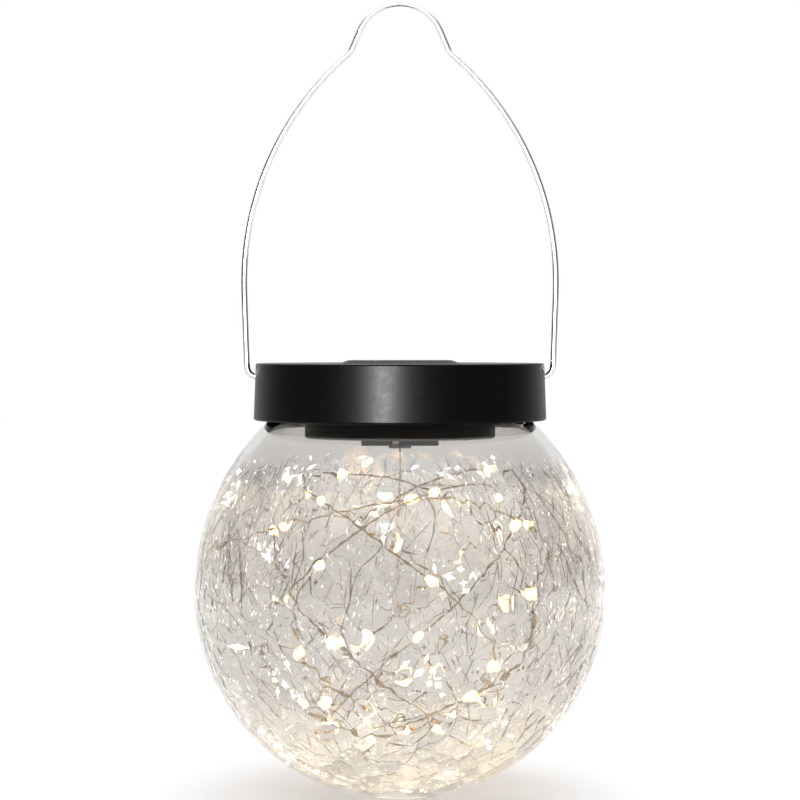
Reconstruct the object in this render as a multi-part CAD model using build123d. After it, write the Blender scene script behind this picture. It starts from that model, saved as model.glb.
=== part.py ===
from build123d import *
from math import atan2, cos, degrees, pi, radians, sin, sqrt, tan
import os

# Solar jar lantern: a ball-shaped glass jar with a short neck, a twist-on lid that holds a solar
# panel, a battery housing under the lid, a wire bail, and a string of small lights in the ball.
# Millimetres, +Z up. The origin is the centre of the foot, on the surface that it stands on.
# The bail's hinge line is parallel to X, and -Y is the front.

# ---- glass jar -----------------------------------------------------------------------------
ball_radius = 60.0
foot_radius = 16.0
punt_radius = 11.0
punt_depth = 1.5
base_thickness = 4.0
glass_wall = 2.6
shoulder_radius = 68.0
neck_wall = 3.0
neck_height = 9.3
neck_corner_radius = 2.5
rim_round = 1.2

# ---- twist lock: lugs on the neck and on the lid ---------------------------------------------
lug_count = 3
glass_lug_depth = 2.2
glass_lug_height = 2.5
glass_lug_below_rim = 4.3
glass_lug_angle = 30.0
stop_angle = 4.0
stop_height = 2.0
lid_lug_angle = 24.0
lid_lug_height = 2.0
lid_lug_rise = 0.8
lug_clearance = 0.6
release_angle = 45.0

# ---- lid -------------------------------------------------------------------------------------
lid_wall = 1.8
lid_roof = 2.2
lid_draft = 0.6
lid_edge_round = 0.6
skirt_drop = 10.0
ledge_depth = 2.6
ledge_width = 4.0
seal_thickness = 1.6
seal_width = 3.0
seat_gap = 0.05

# ---- solar panel -------------------------------------------------------------------------------
window_side = 28.0
window_corner = 1.0
bezel_margin = 3.5
bezel_slope = 2.3
bezel_rise = 0.85
bezel_corner = 4.0
panel_depth = 1.8
panel_clearance = 0.1
backing_thickness = 0.8
cell_strip_count = 4
cell_strip_gap = 0.25
cell_strip_thickness = 0.2
finger_width = 0.8
finger_thickness = 0.06
cover_thickness = 0.65
lead_slot_length = 6.0
lead_slot_width = 2.4
lead_slot_y = -8.0

# ---- battery housing under the lid ---------------------------------------------------------------
housing_radius = 27.8
housing_wall = 1.6
housing_floor = 2.0
housing_reach = 5.6
housing_edge_round = 1.2
neck_gap = 6.7
ear_count = 3
ear_thickness = 1.6
ear_radius = 3.0
ear_neck_gap = 1.4
ear_first_angle = 30.0
boss_length = 5.0
boss_radius = 2.4
block_length = 22.5
block_width = 11.0
block_depth = 2.0
block_corner = 3.0

# ---- cell, its contacts and its door -------------------------------------------------------------
cell_radius = 5.25
cell_length = 29.0
cell_button_radius = 1.9
cell_button_length = 0.8
cell_edge_round = 0.5
cell_clearance = 0.3
cell_side_gap = 0.6
plate_thickness = 0.4
plate_height = 8.0
plate_overhang = 1.6
spring_length = 3.2
spring_wire_radius = 0.35
spring_turns = 3
spring_points_per_turn = 12
spring_large_radius = 3.6
spring_small_radius = 2.2
cradle_wall = 1.4
cradle_height = 8.0
door_width = 14.0
door_thickness = 1.2
door_corner = 3.0
door_clearance = 0.2
door_ear_radius = 2.6
door_boss_overlap = 0.8

# ---- circuit board and switch --------------------------------------------------------------------
board_length = 32.0
board_width = 16.0
board_thickness = 1.0
board_standoff = 3.6
board_corner = 1.5
board_edge_gap = 1.0
board_post_radius = 2.2
board_post_inset = 3.6
switch_length = 8.6
switch_width = 4.4
switch_height = 3.3
switch_wall = 0.6
switch_from_board_edge = 7.0
slider_length = 4.0
slider_thickness = 1.6
slider_gap = 0.15
lever_side = 1.8
lever_reach = 1.3
switch_travel = 2.5
switch_slot_end_gap = 0.4

# ---- screws --------------------------------------------------------------------------------------
screw_radius = 1.0
screw_head_radius = 1.9
screw_head_height = 1.3
screw_length = 5.2
screw_hole_clearance = 0.05
pass_hole_clearance = 0.2
small_screw_radius = 0.8
small_screw_head_radius = 1.5
small_screw_head_height = 0.9
small_screw_length = 3.6

# ---- hook-up leads -------------------------------------------------------------------------------
lead_radius = 0.45

# ---- bail ----------------------------------------------------------------------------------------
bail_wire_radius = 0.92
pivot_drop = 3.9
pivot_clearance = 0.05
pivot_boss_half_width = 3.0
pivot_boss_below = 2.2
pivot_boss_gap = 0.6
pivot_dish_depth = 1.1
pivot_dish_radius = 2.1
bail_side_gap = 3.45
bail_corner_radius = 3.0
bail_lean = 2.0
bail_wide_rise = 27.7
bail_arc_radius = 88.0
bail_rise = 109.0
hump_radius = 12.7
hump_slope = 67.0
hump_corner_radius = 2.5

# ---- light string --------------------------------------------------------------------------------
string_radius = 0.35
gland_radius = 2.3
gland_flange_radius = 3.3
gland_flange = 0.8
string_drop = 14.0
string_corners = 41
string_centre_z = 57.0
string_step = -60.71
string_low = -62.7
string_high = 46.2
string_sway_rate = 0.7664
string_sway_start = 3.434
string_inset = 3.2
string_depth = 0.312
string_depth_rate = 1.961
string_depth_start = 1.0
string_start = 91.0
bead_radius = 1.45
bead_length = 4.4
chip_length = 1.6
chip_width = 0.8
chip_height = 0.6
chip_inset = 0.12
end_radius = 0.9
end_length = 5.0

# ---- worked-out sizes ----------------------------------------------------------------------------
ball_z = sqrt(ball_radius**2 - foot_radius**2)
neck_inner_radius = housing_radius + neck_gap
neck_radius = neck_inner_radius + neck_wall
shoulder_offset = shoulder_radius - ball_radius
shoulder_top_z = ball_z + sqrt(shoulder_radius**2 - (neck_radius + shoulder_offset) ** 2)
rim_z = shoulder_top_z + neck_height

lid_inner_radius = neck_radius + glass_lug_depth + lug_clearance
lid_top_radius = lid_inner_radius + lid_wall
lid_bottom_radius = lid_top_radius + lid_draft
lid_bottom_z = rim_z - skirt_drop
seal_z = rim_z + seat_gap
ledge_z = seal_z + seal_thickness + seat_gap
ceiling_z = ledge_z + ledge_depth
lid_top_z = ceiling_z + lid_roof
ledge_inner_radius = neck_inner_radius - 0.5
ledge_outer_radius = ledge_inner_radius + ledge_width
seal_inner_radius = neck_inner_radius + 0.3
pivot_z = lid_top_z - pivot_drop

bezel_side = window_side + 2 * bezel_margin
panel_z = lid_top_z + bezel_rise - panel_depth
cells_z = panel_z + backing_thickness
fingers_z = cells_z + cell_strip_thickness
cover_z = fingers_z + finger_thickness

housing_z = lid_bottom_z - housing_reach
housing_inner_radius = housing_radius - housing_wall
floor_z = housing_z + housing_floor
block_z = housing_z - block_depth
ear_reach = neck_inner_radius - ear_neck_gap - ear_radius
ear_z = ceiling_z - boss_length - ear_thickness

bay_length = cell_length + cell_button_length + plate_thickness + spring_length
bay_half = bay_length / 2
cradle_half = bay_half + cradle_wall
cell_y = sqrt(housing_inner_radius**2 - cradle_half**2) - cell_radius - cell_side_gap
cell_z = floor_z + cell_clearance + cell_radius
plate_front_y = cell_y - cell_radius - cell_side_gap - plate_overhang
lead_start_z = floor_z + cradle_height / 2
door_length = bay_length + 1.0
door_screw_x = cradle_half + boss_radius - door_boss_overlap
door_screw_y = cell_y - 1.6

board_front_y = -sqrt((housing_inner_radius - board_edge_gap) ** 2 - (board_length / 2) ** 2)
board_y = board_front_y + board_width / 2
board_z = floor_z + board_standoff
board_top_z = board_z + board_thickness
board_post_x = board_length / 2 - board_post_inset
board_post_y = board_y + 1.0
switch_y = board_front_y + switch_from_board_edge
switch_rest_x = -switch_travel / 2
slot_length = switch_travel + lever_side + 2 * switch_slot_end_gap
slot_width = lever_side + 2 * switch_slot_end_gap

gland_z = block_z - gland_flange
bail_half_width = lid_top_radius + bail_side_gap


# ---- shared shapes -------------------------------------------------------------------------------
def turned(*corners):
    """A solid of revolution about Z, from (radius, height) corners."""
    return revolve(make_face(Plane.XZ * Polyline(*corners, close=True)), Axis.Z)


def disc(radius, low, high, x=0.0, y=0.0):
    """An upright cylinder between two heights."""
    return Pos(x, y, low) * extrude(Circle(radius), high - low)


def slab(length, width, low, high, x=0.0, y=0.0, corner=0.0):
    """An upright block between two heights, with rounded corners if asked."""
    outline = RectangleRounded(length, width, corner) if corner else Rectangle(length, width)
    return Pos(x, y, low) * extrude(outline, high - low)


def sector(inner, outer, middle_angle, angle, low, high):
    """A block that fills an angle of a ring, between two heights."""
    start = middle_angle - angle / 2
    inside = CenterArc((0, 0), inner, start, angle)
    outside = CenterArc((0, 0), outer, start, angle)
    sides = [Line(inside @ 0, outside @ 0), Line(inside @ 1, outside @ 1)]
    return Pos(0, 0, low) * extrude(make_face([inside, outside, *sides]), high - low)


def around(count, first_angle, radius):
    """Places evenly spaced round the Z axis, as (x, y)."""
    turns = [radians(first_angle + 360.0 * i / count) for i in range(count)]
    return [(radius * cos(turn), radius * sin(turn)) for turn in turns]


def group(*shapes):
    """Separate solids kept together as one node."""
    return Compound([solid for shape in shapes for solid in shape.solids()])


def screw(radius, length, head_radius, head_height):
    """A cross-head screw that points up, with the underside of its head at the origin."""
    body = disc(radius, 0, length) + disc(head_radius, -head_height, 0)
    slot = Box(head_radius * 1.3, head_radius * 0.3, head_height)
    cross = Pos(0, 0, -head_height) * (slot + Rot(0, 0, 90) * slot)
    return body - cross


def bend_radii(points):
    """One radius for each corner: as large as the two runs that meet there allow."""
    radii = []
    for before, corner, after in zip(points, points[1:], points[2:]):
        run_in = Vector(corner) - Vector(before)
        run_out = Vector(after) - Vector(corner)
        half_turn = radians(run_in.get_angle(run_out)) / 2
        radii.append(0.45 * min(run_in.length, run_out.length) / tan(half_turn))
    return radii


def tube(points, radius, name):
    """A round wire along straight runs joined by tangent arcs."""
    radii = bend_radii(points)
    path = FilletPolyline(*points, radius=radii)
    section = Plane(path @ 0, z_dir=path % 0) * Circle(radius)
    wire = sweep(section, path=path)
    ratio = wire.volume / (pi * radius**2 * path.length)
    print(
        f"{name}: length {path.length:.1f}, bend radii {min(radii):.1f} to {max(radii):.1f}, "
        f"volume ratio {ratio:.4f}"
    )
    return wire


# ---- glass jar -----------------------------------------------------------------------------------
def glass_profile():
    """Half section of the jar, closed, in the XZ plane."""
    inner_ball = ball_radius - glass_wall
    inner_shoulder = shoulder_radius - glass_wall
    inner_floor_r = sqrt(inner_ball**2 - (ball_z - base_thickness) ** 2)
    inner_top_z = ball_z + sqrt(inner_shoulder**2 - (neck_inner_radius + shoulder_offset) ** 2)

    def on_arc(centre_r, radius, start, end):
        """Middle point of the arc between two points of a circle about (centre_r, ball_z)."""
        first = atan2(start[1] - ball_z, start[0] - centre_r)
        last = atan2(end[1] - ball_z, end[0] - centre_r)
        middle = (first + last) / 2
        return centre_r + radius * cos(middle), ball_z + radius * sin(middle)

    foot = (foot_radius, 0)
    waist = (ball_radius, ball_z)
    neck_foot = (neck_radius, shoulder_top_z)
    inner_neck_foot = (neck_inner_radius, inner_top_z)
    inner_waist = (inner_ball, ball_z)
    inner_floor = (inner_floor_r, base_thickness)
    punt_edge = (punt_radius, 0)
    return make_face(
        [
            ThreePointArc(foot, on_arc(0, ball_radius, foot, waist), waist),
            ThreePointArc(waist, on_arc(-shoulder_offset, shoulder_radius, waist, neck_foot), neck_foot),
            Polyline(neck_foot, (neck_radius, rim_z), (neck_inner_radius, rim_z), inner_neck_foot),
            ThreePointArc(
                inner_neck_foot,
                on_arc(-shoulder_offset, inner_shoulder, inner_neck_foot, inner_waist),
                inner_waist,
            ),
            ThreePointArc(inner_waist, on_arc(0, inner_ball, inner_waist, inner_floor), inner_floor),
            Polyline(inner_floor, (0, base_thickness), (0, punt_depth)),
            ThreePointArc((0, punt_depth), (punt_radius * 0.55, punt_depth * 0.7), punt_edge),
            Line(punt_edge, foot),
        ]
    )


def glass_jar():
    """Ball, shoulder and neck in one wall, with the lugs of the twist lock on the neck."""
    section = glass_profile()
    rim = [v for v in section.vertices() if v.Y > rim_z - 0.01]
    section = fillet(rim, rim_round)
    on_neck = [v for v in section.vertices() if abs(v.X - neck_radius) < 0.01]
    neck = [v for v in on_neck if v.Y < rim_z - rim_round - 1]
    section = fillet(neck, neck_corner_radius)
    jar = revolve(Plane.XZ * section, Axis.Z)
    lug_top = rim_z - glass_lug_below_rim
    lug_low = lug_top - glass_lug_height
    outer = neck_radius + glass_lug_depth
    inner = neck_radius - neck_wall / 3
    for i in range(lug_count):
        middle = 360.0 * i / lug_count
        stop = middle - (glass_lug_angle + stop_angle) / 2
        jar += sector(inner, outer, middle, glass_lug_angle, lug_low, lug_top)
        jar += sector(inner, outer, stop, stop_angle, lug_low - stop_height, lug_top)
    return jar


# ---- lid -----------------------------------------------------------------------------------------
def lid_cap():
    """Drafted cap with a roof, a ledge that presses the seal, lugs, bosses and the panel's bezel."""
    cap = turned(
        (0, lid_top_z),
        (lid_top_radius, lid_top_z),
        (lid_bottom_radius, lid_bottom_z),
        (lid_inner_radius, lid_bottom_z),
        (lid_inner_radius, ceiling_z),
        (ledge_outer_radius, ceiling_z),
        (ledge_outer_radius, ledge_z),
        (ledge_inner_radius, ledge_z),
        (ledge_inner_radius, ceiling_z),
        (0, ceiling_z),
    )
    circles = cap.edges().filter_by(GeomType.CIRCLE)
    outer_rims = [e for e in circles if e.radius > lid_top_radius - 0.01]
    cap = fillet(outer_rims, lid_edge_round)

    lug_low = lid_bottom_z + lid_lug_rise
    lug_inner = neck_radius + lug_clearance
    for i in range(lug_count):
        middle = release_angle + 360.0 * i / lug_count
        outer = lid_inner_radius + lid_wall / 2
        cap += sector(lug_inner, outer, middle, lid_lug_angle, lug_low, lug_low + lid_lug_height)

    for x, y in around(ear_count, ear_first_angle, ear_reach):
        cap += disc(boss_radius, ceiling_z - boss_length, ceiling_z + lid_roof / 2, x, y)
        cap -= disc(screw_radius + screw_hole_clearance, ceiling_z - boss_length, ceiling_z, x, y)

    boss_inner = ledge_outer_radius + pivot_boss_gap
    boss_outer = lid_inner_radius + lid_wall / 2
    for side in (-1, 1):
        cap += slab(
            boss_outer - boss_inner,
            2 * pivot_boss_half_width,
            pivot_z - pivot_boss_below,
            ceiling_z + lid_roof / 2,
            side * (boss_inner + boss_outer) / 2,
        )
        wall_x = lid_top_radius + lid_draft
        hole = Plane((side * (boss_inner - 1), 0, pivot_z), z_dir=(side, 0, 0))
        cap -= hole * extrude(Circle(bail_wire_radius + pivot_clearance), wall_x - boss_inner + 2)
        dish_floor = Circle(bail_wire_radius + pivot_clearance)
        dish_mouth = Pos(0, 0, pivot_dish_depth) * Circle(pivot_dish_radius)
        dish = Plane((side * (wall_x - pivot_dish_depth), 0, pivot_z), z_dir=(side, 0, 0))
        cap -= dish * loft([dish_floor, dish_mouth])

    bezel_low = RectangleRounded(bezel_side, bezel_side, bezel_corner)
    top_side = bezel_side - 2 * bezel_slope
    bezel_high = RectangleRounded(top_side, top_side, bezel_corner - bezel_slope / 2)
    sunk = lid_roof / 4
    cap += slab(bezel_side, bezel_side, lid_top_z - sunk, lid_top_z, corner=bezel_corner)
    cap += Pos(0, 0, lid_top_z) * loft([bezel_low, Pos(0, 0, bezel_rise) * bezel_high])
    cap -= slab(window_side, window_side, panel_z, lid_top_z + bezel_rise, corner=window_corner)
    cap -= slab(lead_slot_length, lead_slot_width, ceiling_z, panel_z, 0, lead_slot_y, corner=1.0)
    return cap


def lid_seal():
    """Rubber ring that lies between the glass rim and the lid's ledge."""
    outer = seal_inner_radius + seal_width
    ring = turned(
        (seal_inner_radius, seal_z),
        (outer, seal_z),
        (outer, seal_z + seal_thickness),
        (seal_inner_radius, seal_z + seal_thickness),
    )
    return fillet(ring.edges().filter_by(GeomType.CIRCLE), seal_thickness * 0.3)


# ---- solar panel ---------------------------------------------------------------------------------
def solar_backing():
    """Board that carries the cells."""
    side = window_side - 2 * panel_clearance
    return slab(side, side, panel_z, cells_z, corner=window_corner)


def cell_strips(width_of, low, high):
    """One strip for each solar cell, side by side along X."""
    side = window_side - 2 * panel_clearance - 2 * cell_strip_gap
    pitch = (side + cell_strip_gap) / cell_strip_count
    width = width_of(pitch - cell_strip_gap)
    first = -pitch * (cell_strip_count - 1) / 2
    return group(*[slab(width, side, low, high, first + i * pitch) for i in range(cell_strip_count)])


def solar_cells():
    """Silicon strips."""
    return cell_strips(lambda width: width, cells_z, fingers_z)


def solar_fingers():
    """Silver conductors along the middle of each strip."""
    return cell_strips(lambda width: finger_width, fingers_z, cover_z)


def solar_cover():
    """Clear resin window over the cells."""
    side = window_side - 2 * panel_clearance
    return slab(side, side, cover_z, cover_z + cover_thickness, corner=window_corner)


# ---- battery housing -----------------------------------------------------------------------------
def housing_cup():
    """Round cup, open at the top, with a rounded lower edge."""
    cup = turned(
        (0, housing_z),
        (housing_radius, housing_z),
        (housing_radius, ceiling_z),
        (housing_inner_radius, ceiling_z),
        (housing_inner_radius, floor_z),
        (0, floor_z),
    )
    low_edges = cup.edges().filter_by(GeomType.CIRCLE).group_by(Axis.Z)[0]
    return fillet(low_edges, housing_edge_round)


def door_outline(clearance):
    """Plan of the battery door: a rounded rectangle with an ear for its screw."""
    panel = Pos(0, cell_y) * RectangleRounded(
        door_length + 2 * clearance, door_width + 2 * clearance, door_corner
    )
    ear = Pos(door_screw_x, door_screw_y) * Circle(door_ear_radius + clearance)
    bridge_length = door_screw_x - door_length / 2 + door_corner
    bridge = Pos(door_screw_x - bridge_length / 2, door_screw_y) * Rectangle(
        bridge_length, 2 * (door_ear_radius + clearance)
    )
    return panel + ear + bridge


def battery_housing():
    """Cup with the wire block, the cell's cradle, board posts and screw ears."""
    body = housing_cup()
    body += slab(block_length, block_width, block_z, housing_z + housing_floor / 2, corner=block_corner)

    for x, y in around(ear_count, ear_first_angle, ear_reach):
        angle = degrees(atan2(y, x))
        arm_start = housing_radius - housing_wall / 2
        arm = Pos((arm_start + ear_reach) / 2, 0, ear_z) * extrude(
            Rectangle(ear_reach - arm_start, 2 * ear_radius), ear_thickness
        )
        body += Rot(0, 0, angle) * arm
        body += disc(ear_radius, ear_z, ear_z + ear_thickness, x, y) - disc(
            housing_radius - housing_wall / 2, ear_z, ear_z + ear_thickness
        )
        body -= disc(screw_radius + pass_hole_clearance, ear_z, ear_z + ear_thickness, x, y)
        body -= disc(boss_radius + pass_hole_clearance, ear_z + ear_thickness, ceiling_z, x, y)

    cradle_depth = 2 * (cell_radius + cell_side_gap)
    cradle_top = floor_z + cradle_height
    inside = disc(housing_radius - housing_wall / 2, housing_z, ceiling_z)
    for side in (-1, 1):
        middle = side * (bay_half + cradle_wall / 2)
        body += slab(cradle_wall, cradle_depth, floor_z - 0.5, cradle_top, middle, cell_y) & inside
    door_boss = disc(boss_radius, floor_z - 0.5, cradle_top, door_screw_x, door_screw_y)
    body += door_boss & inside
    for side in (-1, 1):
        body += disc(board_post_radius, floor_z - 0.5, board_z, side * board_post_x, board_post_y)
        body -= disc(
            small_screw_radius + screw_hole_clearance, floor_z, board_z, side * board_post_x, board_post_y
        )

    body -= Pos(0, 0, housing_z) * extrude(door_outline(door_clearance), door_thickness)
    bay_width = 2 * cell_radius + 2 * cell_clearance
    body -= slab(bay_length - 2 * cradle_wall, bay_width, housing_z, floor_z, 0, cell_y)
    screw_hole = small_screw_radius + screw_hole_clearance
    body -= disc(screw_hole, housing_z, floor_z + small_screw_length, door_screw_x, door_screw_y)
    body -= disc(gland_radius, block_z, floor_z)
    body -= slab(slot_length, slot_width, housing_z, floor_z, 0, switch_y)
    return body


def battery_door():
    """Cover of the battery bay, flush with the housing's underside."""
    top = housing_z + door_thickness
    door = Pos(0, 0, housing_z) * extrude(door_outline(0), door_thickness)
    return door - disc(small_screw_radius + pass_hole_clearance, housing_z, top, door_screw_x, door_screw_y)


def door_screw():
    """Small screw that holds the door, driven from below."""
    return Pos(door_screw_x, door_screw_y, housing_z) * screw(
        small_screw_radius, small_screw_length, small_screw_head_radius, small_screw_head_height
    )


def housing_screws():
    """Screws through the ears into the lid's bosses."""
    one = screw(screw_radius, screw_length, screw_head_radius, screw_head_height)
    return group(*[Pos(x, y, ear_z) * one for x, y in around(ear_count, ear_first_angle, ear_reach)])


# ---- cell and contacts ---------------------------------------------------------------------------
def battery_cell():
    """Rechargeable cell, lying along X with its button towards the plate."""
    body = fillet(Cylinder(cell_radius, cell_length).edges(), cell_edge_round)
    middle = -bay_half + plate_thickness + cell_button_length + cell_length / 2
    button_x = middle - cell_length / 2 - cell_button_length / 2
    button = Pos(button_x, cell_y, cell_z) * Rot(0, 90, 0) * Cylinder(cell_button_radius, cell_button_length)
    return Pos(middle, cell_y, cell_z) * Rot(0, 90, 0) * body + button


def contact_plate(side):
    """Flat contact against a cradle wall. It stands out to the front, where its lead starts."""
    back_y = cell_y + cell_radius * 0.8
    return slab(
        plate_thickness,
        back_y - plate_front_y,
        floor_z + 0.2,
        floor_z + plate_height,
        side * (bay_half - plate_thickness / 2),
        (back_y + plate_front_y) / 2,
    )


def battery_plate():
    """Contact at the cell's button."""
    return contact_plate(-1)


def battery_spring():
    """Tapered coil on its base plate, which presses the cell's flat end."""
    height = spring_length - plate_thickness - 2 * spring_wire_radius
    places = []
    for i in range(spring_turns * spring_points_per_turn + 1):
        turns = i / spring_points_per_turn
        along = turns / spring_turns
        radius = spring_large_radius + (spring_small_radius - spring_large_radius) * along
        places.append((radius * cos(2 * pi * turns), radius * sin(2 * pi * turns), height * along))
    coil_path = Spline(*places)
    coil = sweep(Plane(coil_path @ 0, z_dir=coil_path % 0) * Circle(spring_wire_radius), coil_path)
    base_x = bay_half - plate_thickness - spring_wire_radius
    return group(contact_plate(1), Pos(base_x, cell_y, cell_z) * Rot(0, -90, 0) * coil)


# ---- circuit board and switch --------------------------------------------------------------------
def circuit_board():
    """Board on two posts, across the front of the housing."""
    board = slab(board_length, board_width, board_z, board_top_z, 0, board_y, board_corner)
    for side in (-1, 1):
        board -= disc(
            small_screw_radius + pass_hole_clearance, board_z, board_top_z, side * board_post_x, board_post_y
        )
    return board


def board_screws():
    """Screws down through the board into its posts."""
    one = Rot(180, 0, 0) * screw(
        small_screw_radius, small_screw_length, small_screw_head_radius, small_screw_head_height
    )
    return group(*[Pos(side * board_post_x, board_post_y, board_top_z) * one for side in (-1, 1)])


def board_parts():
    """Chip with its legs, a capacitor and two resistors, on top of the board."""
    chip = slab(4.9, 3.9, board_top_z + 0.2, board_top_z + 1.7, -3.0, board_y - 2.0)
    legs = [
        slab(0.4, 5.6, board_top_z, board_top_z + 0.2, -3.0 + step * 1.27, board_y - 2.0)
        for step in (-1.5, -0.5, 0.5, 1.5)
    ]
    capacitor = disc(2.0, board_top_z, board_top_z + 5.4, 6.5, board_y - 2.6)
    resistors = [
        slab(2.0, 1.25, board_top_z, board_top_z + 0.6, 2.2, board_y + shift) for shift in (-4.5, 2.2)
    ]
    return group(chip, *legs, capacitor, *resistors)


def board_choke():
    """Barrel-shaped coil of the voltage booster, on its two wire ends."""
    barrel_z = board_top_z + 2.0
    barrel = fillet(Cylinder(1.6, 6.8).edges(), 0.9)
    choke = Pos(-4.0, board_y + 3.4, barrel_z) * Rot(0, 90, 0) * barrel
    ends = [disc(0.3, board_top_z, barrel_z + 0.3, -4.0 + side * 3.9, board_y + 3.4) for side in (-1, 1)]
    link = Rot(0, 90, 0) * Cylinder(0.25, 1.0)
    links = [Pos(-4.0 + side * 3.5, board_y + 3.4, barrel_z) * link for side in (-1, 1)]
    return choke + ends + links


def switch_body():
    """Metal case of the slide switch, hung under the board, with a slot for the lever."""
    low = board_z - switch_height
    case = slab(switch_length, switch_width, low, board_z, 0, switch_y)
    case -= slab(
        switch_length - 2 * switch_wall,
        switch_width - 2 * switch_wall,
        low + switch_wall,
        board_z - switch_wall,
        0,
        switch_y,
    )
    return case - slab(slot_length, slot_width, low, low + switch_wall, 0, switch_y)


def switch_slider():
    """Carriage inside the case and the lever that comes out through the housing's floor."""
    low = board_z - switch_height + switch_wall + slider_gap
    width = switch_width - 2 * switch_wall - 2 * slider_gap
    carriage = slab(slider_length, width, low, low + slider_thickness, switch_rest_x, switch_y)
    lever = slab(lever_side, lever_side, housing_z - lever_reach, low + 0.5, switch_rest_x, switch_y, 0.3)
    return carriage + lever


# ---- light string and leads ----------------------------------------------------------------------
def string_gland():
    """Rubber grommet in the wire block and the floor."""
    body = disc(gland_radius, block_z, floor_z)
    body += disc(gland_flange_radius, gland_z, block_z)
    body += disc(gland_flange_radius, floor_z, floor_z + gland_flange)
    return body - disc(string_radius, gland_z, floor_z + gland_flange)


def string_tail():
    """The light string's end inside the housing, up through the gland and over to the board."""
    over_z = board_top_z + 4.5
    end_y = board_y + board_width / 2 - 1.6
    points = [
        (0, 0, gland_z),
        (0, 0, gland_z + 7.0),
        (0.3, 0.4, over_z - 0.6),
        (-1.2, end_y * 0.55, over_z + 1.2),
        (-1.6, end_y, over_z - 1.2),
        (-1.6, end_y, board_top_z),
    ]
    return tube(points, string_radius, "string_tail")


def panel_lead(side):
    """Lead from the panel's underside, through the slot in the roof, to the board."""
    end = (side * 9.0, board_y + 5.6, board_top_z)
    points = [
        (side * 1.5, lead_slot_y, panel_z),
        (side * 1.5, lead_slot_y, ceiling_z - 1.0),
        (side * 4.6, lead_slot_y + 1.2, board_top_z + 6.6),
        (end[0], end[1], board_top_z + 5.0),
        end,
    ]
    return tube(points, lead_radius, "panel_lead")


def battery_lead(side):
    """Lead from the front edge of a contact plate to the board."""
    start_x = side * (bay_half - plate_thickness / 2)
    end = (side * 12.6, board_y + 5.6, board_top_z)
    points = [
        (start_x, plate_front_y, lead_start_z),
        (start_x, plate_front_y - 3.5, lead_start_z),
        (start_x, plate_front_y - 6.0, board_top_z + 3.4),
        (end[0], end[1], board_top_z + 4.2),
        end,
    ]
    return tube(points, lead_radius, "battery_lead")


def red_leads():
    """Positive leads."""
    return group(panel_lead(-1), battery_lead(-1))


def black_leads():
    """Negative leads."""
    return group(panel_lead(1), battery_lead(1))


def string_reach(elevation):
    """Distance from the middle of the nest to the inner glass surface, at an angle above the level."""
    rise = string_centre_z - ball_z
    inner_ball = ball_radius - glass_wall
    inner_shoulder = shoulder_radius - glass_wall
    to_ball = sqrt(inner_ball**2 - (rise * cos(elevation)) ** 2) - rise * sin(elevation)
    if rise + to_ball * sin(elevation) > 0:
        shift = shoulder_offset * cos(elevation) + rise * sin(elevation)
        return sqrt(shift**2 + inner_shoulder**2 - shoulder_offset**2 - rise**2) - shift
    if elevation < 0:
        return min(to_ball, (string_centre_z - base_thickness) / sin(-elevation))
    return to_ball


def string_route():
    """Corner points of the light string: out of the gland, then loose turns round the ball."""
    points = [(0, 0, gland_z), (0, 0, gland_z - string_drop)]
    for k in range(string_corners):
        heading = radians(string_start + string_step * k)
        sway = 0.5 + 0.5 * sin(string_sway_rate * k + string_sway_start)
        elevation = radians(string_low + (string_high - string_low) * sway)
        sink = 0.5 + 0.5 * sin(string_depth_rate * k + string_depth_start)
        reach = (string_reach(elevation) - string_inset) * (1 - string_depth * sink)
        flat = reach * cos(elevation)
        up = reach * sin(elevation)
        points.append((flat * cos(heading), flat * sin(heading), string_centre_z + up))
    return points


def string_wire():
    """The twin wire of the light string, from the gland to its far end."""
    return tube(string_route(), string_radius, "string_wire")


def light_places():
    """A frame at the middle of each run of the nest, with its Z along the wire."""
    route = [Vector(*point) for point in string_route()]
    places = []
    for start, end in zip(route[2:], route[3:]):
        places.append(Plane((start + end) * 0.5, z_dir=end - start).location)
    return places


def light_chip():
    """Chip that sits beside the wire, inside the resin."""
    middle = string_radius + chip_inset + chip_height / 2
    return Pos(middle, 0, 0) * Box(chip_height, chip_width, chip_length)


def light_bead():
    """Drop of clear resin round the wire, with room for its chip."""
    half = bead_length / 2
    outline = make_face(
        [
            ThreePointArc((string_radius, -half), (bead_radius, 0), (string_radius, half)),
            Line((string_radius, half), (string_radius, -half)),
        ]
    )
    return revolve(Plane.XZ * outline, Axis.Z) - light_chip()


def led_beads():
    """All the resin drops."""
    bead = light_bead()
    return group(*[place * bead for place in light_places()])


def led_chips():
    """All the chips."""
    chip = light_chip()
    return group(*[place * chip for place in light_places()])


def string_end():
    """Sealed sleeve on the far end of the light string."""
    route = [Vector(*point) for point in string_route()]
    along = (route[-1] - route[-2]).normalized()
    sleeve = fillet(Cylinder(end_radius, end_length).edges(), end_radius * 0.4)
    return Plane(route[-1] + along * (end_length / 2), z_dir=along).location * sleeve


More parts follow.
